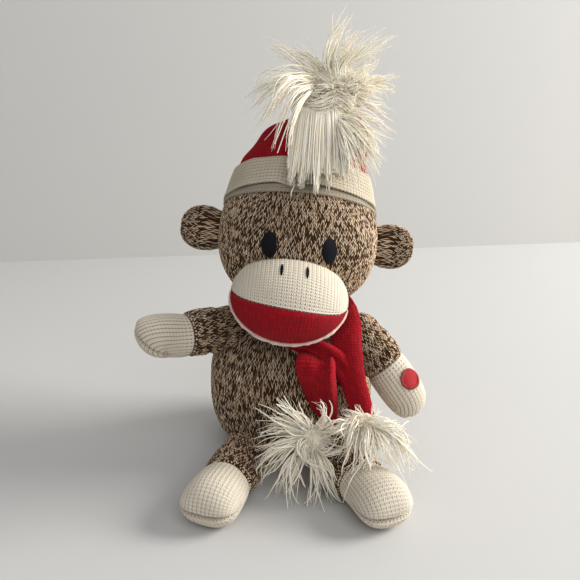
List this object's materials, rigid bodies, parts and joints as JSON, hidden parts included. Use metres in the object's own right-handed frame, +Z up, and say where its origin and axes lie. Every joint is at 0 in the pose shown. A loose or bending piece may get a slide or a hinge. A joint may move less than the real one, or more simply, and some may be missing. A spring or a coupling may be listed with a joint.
{
  "type": "sock monkey doll",
  "caption": "Seated stuffed sock monkey doll in marl, cream and red knit, with a tasselled knit hat and a knotted scarf ending in poms; head, arms, legs, tassel and scarf tails move.",
  "frame": {"origin": "centre of the flat seat under the body, on the surface that the doll sits on", "axes": "+Z up, the doll faces -Y, its own left side is +X"},
  "size_m": [0.1828, 0.17, 0.2738],
  "materials": {
    "brown_knit": "marl stocking-stitch knit, dark brown with cream flecks",
    "cream_knit": "cream stocking-stitch knit",
    "red_knit": "fine red knit",
    "black_thread": "black satin-stitch embroidery",
    "red_thread": "red satin-stitch embroidery",
    "cream_yarn": "loose glossy cream yarn",
    "stuffing": "white polyester filling"
  },
  "bodies": {
    "torso": {"body_cover": "brown_knit", "body_stuffing": "stuffing", "scarf_neck_band": "red_knit", "scarf_lead": "red_knit", "scarf_knot": "red_knit"},
    "neck": {"neck_stuffing": "stuffing"},
    "head": {"head_cover": "brown_knit", "head_stuffing": "stuffing", "muzzle_upper": "cream_knit", "mouth": "red_knit", "muzzle_chin": "cream_knit", "muzzle_stuffing": "stuffing", "mouth_piping": "cream_yarn", "eye_right": "black_thread", "eye_left": "black_thread", "nostril_right": "black_thread", "nostril_left": "black_thread", "ear_right": "brown_knit", "ear_left": "brown_knit", "hat_cuff": "cream_knit", "hat_crown": "red_knit"},
    "tassel": {"tassel_binding": "cream_yarn", "tassel_topknot": "cream_yarn", "tassel_skirt": "cream_yarn"},
    "arm_right": {"sleeve_right": "brown_knit", "hand_right": "cream_knit", "arm_stuffing_right": "stuffing"},
    "arm_left": {"sleeve_left": "brown_knit", "hand_left": "cream_knit", "arm_stuffing_left": "stuffing", "paw_patch": "red_thread"},
    "leg_right": {"leg_right": "brown_knit", "foot_right": "cream_knit", "leg_stuffing_right": "stuffing"},
    "leg_left": {"leg_left": "brown_knit", "foot_left": "cream_knit", "leg_stuffing_left": "stuffing"},
    "tail_right": {"scarf_tail_right": "red_knit", "pom_right": "cream_yarn"},
    "tail_left": {"scarf_tail_left": "red_knit", "pom_left": "cream_yarn"}
  },
  "joints": [
    {"name": "neck_turn", "type": "hinge", "parent": "torso", "child": "neck", "pos_m": [0, 0, 0.096], "axis": [0.1045, 0, 0.9945], "range_deg": [-25, 12]},
    {"name": "head_nod", "type": "hinge", "parent": "neck", "child": "head", "pos_m": [0, 0, 0.096], "axis": [1, 0, 0], "range_deg": [-7, 0]},
    {"name": "tassel_swing", "type": "hinge", "parent": "head", "child": "tassel", "pos_m": [0.03, 0.004, 0.2313], "axis": [-1, 0, 0], "range_deg": [0, 60]},
    {"name": "shoulder_right", "type": "hinge", "parent": "torso", "child": "arm_right", "pos_m": [-0.0393, -0.0135, 0.0865], "axis": [0, 1, 0], "range_deg": [0, 55]},
    {"name": "shoulder_left", "type": "hinge", "parent": "torso", "child": "arm_left", "pos_m": [0.044, -0.028, 0.0865], "axis": [0, -1, 0], "range_deg": [0, 90]},
    {"name": "hip_right", "type": "hinge", "parent": "torso", "child": "leg_right", "pos_m": [-0.0278, -0.048, 0.01294], "axis": [0, 0, -1], "range_deg": [-8, 30]},
    {"name": "hip_left", "type": "hinge", "parent": "torso", "child": "leg_left", "pos_m": [0.032, -0.048, 0.01294], "axis": [0, 0, 1], "range_deg": [-3, 30]},
    {"name": "tail_right_swing", "type": "hinge", "parent": "torso", "child": "tail_right", "pos_m": [0.019, -0.048, 0.079], "axis": [-1, 0, 0], "range_deg": [0, 50]},
    {"name": "tail_left_swing", "type": "hinge", "parent": "torso", "child": "tail_left", "pos_m": [0.0305, -0.048, 0.079], "axis": [-1, 0, 0], "range_deg": [0, 50]}
  ]
}
